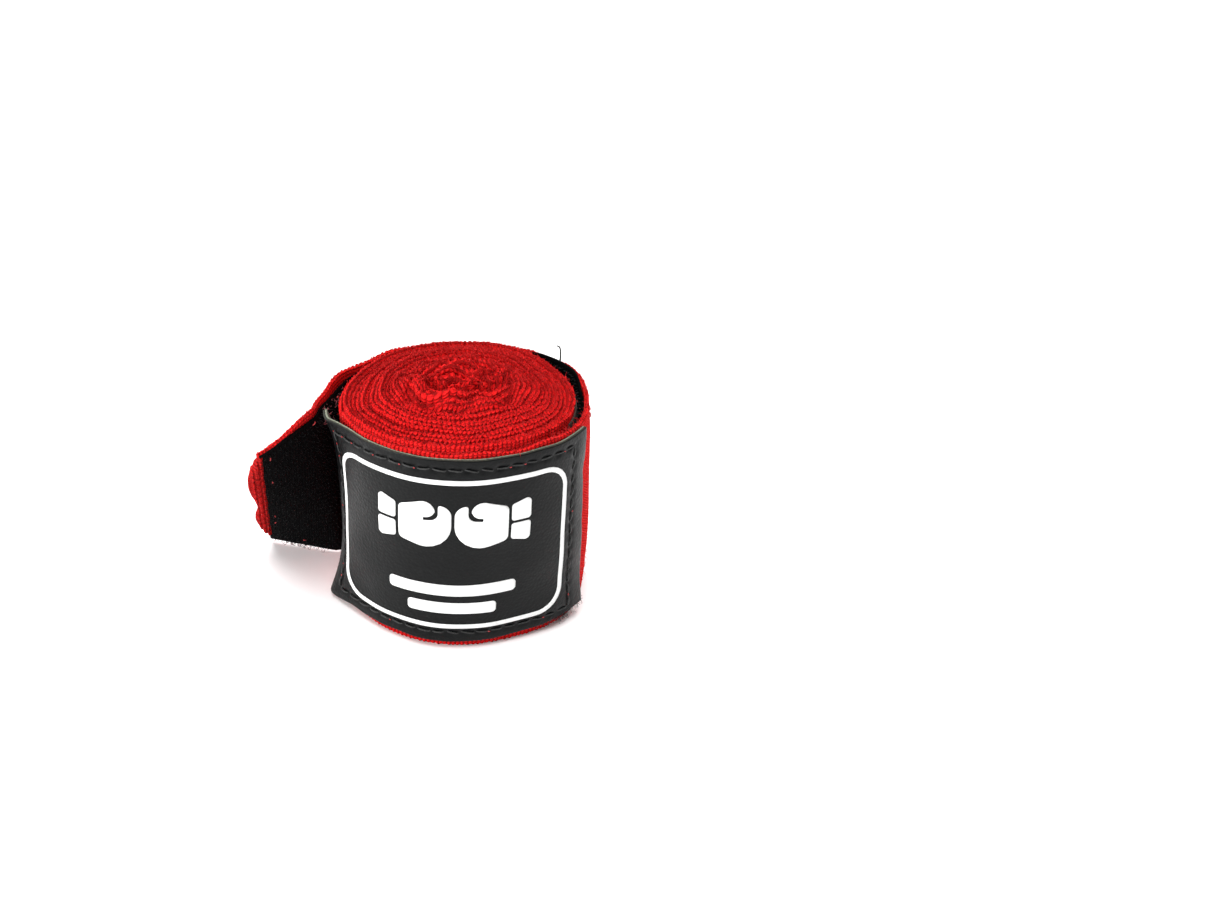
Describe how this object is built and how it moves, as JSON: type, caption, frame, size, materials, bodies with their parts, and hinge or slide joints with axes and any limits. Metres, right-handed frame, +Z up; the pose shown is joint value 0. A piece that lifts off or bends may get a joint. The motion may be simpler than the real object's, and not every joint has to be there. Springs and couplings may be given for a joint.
{
  "type": "hand wrap",
  "caption": "Rolled elastic hand wrap for boxing, with a sewn patch and a hook-and-loop band whose free tab stands open.",
  "frame": {"origin": "axis of the roll, at the face that it stands on", "axes": "+Z up along the axis of the roll, -Y out through the middle of the sewn patch, +X to the right as the patch is faced; the free tab points to -X"},
  "size_m": [0.0828, 0.0591, 0.05],
  "materials": {
    "red_knit": "ribbed elastic cotton knit, matt, slightly fuzzy",
    "red_tape": "narrow woven cotton tape",
    "loop_pile": "napped loop pile",
    "hook_tape": "nylon base with rows of small hooks",
    "patch_base": "woven base of imitation leather, seen at the cut edge",
    "patch_leather": "fine grained imitation leather, satin",
    "white_print": "thin raised print",
    "black_thread": "polyester sewing thread",
    "red_thread": "polyester sewing thread"
  },
  "bodies": {
    "roll": {"strip_coil": "red_knit", "thumb_loop": "red_tape", "loop_tape": "loop_pile", "hook_tape_root": "hook_tape", "patch_backing": "patch_base", "patch_leather": "patch_leather", "patch_border": "white_print", "patch_emblem": "white_print", "patch_bars": "white_print", "patch_stitches": "black_thread"},
    "band": {"band_strip": "red_knit", "band_hook_tape": "hook_tape", "band_stitches": "red_thread"},
    "tab": {"tab_strip": "red_knit", "tab_hem": "red_knit", "tab_hook_tape": "hook_tape", "tab_stitches": "red_thread"}
  },
  "joints": [
    {"name": "band_peel", "type": "hinge", "parent": "roll", "child": "band", "pos_m": [0.02919, -0.0041, 0.025], "axis": [0, 0, 1], "range_deg": [-110, 0]},
    {"name": "tab_flex", "type": "hinge", "parent": "band", "child": "tab", "pos_m": [-0.02931, 0.00623, 0.025], "axis": [0, 0, 1], "range_deg": [-40, 12]}
  ]
}
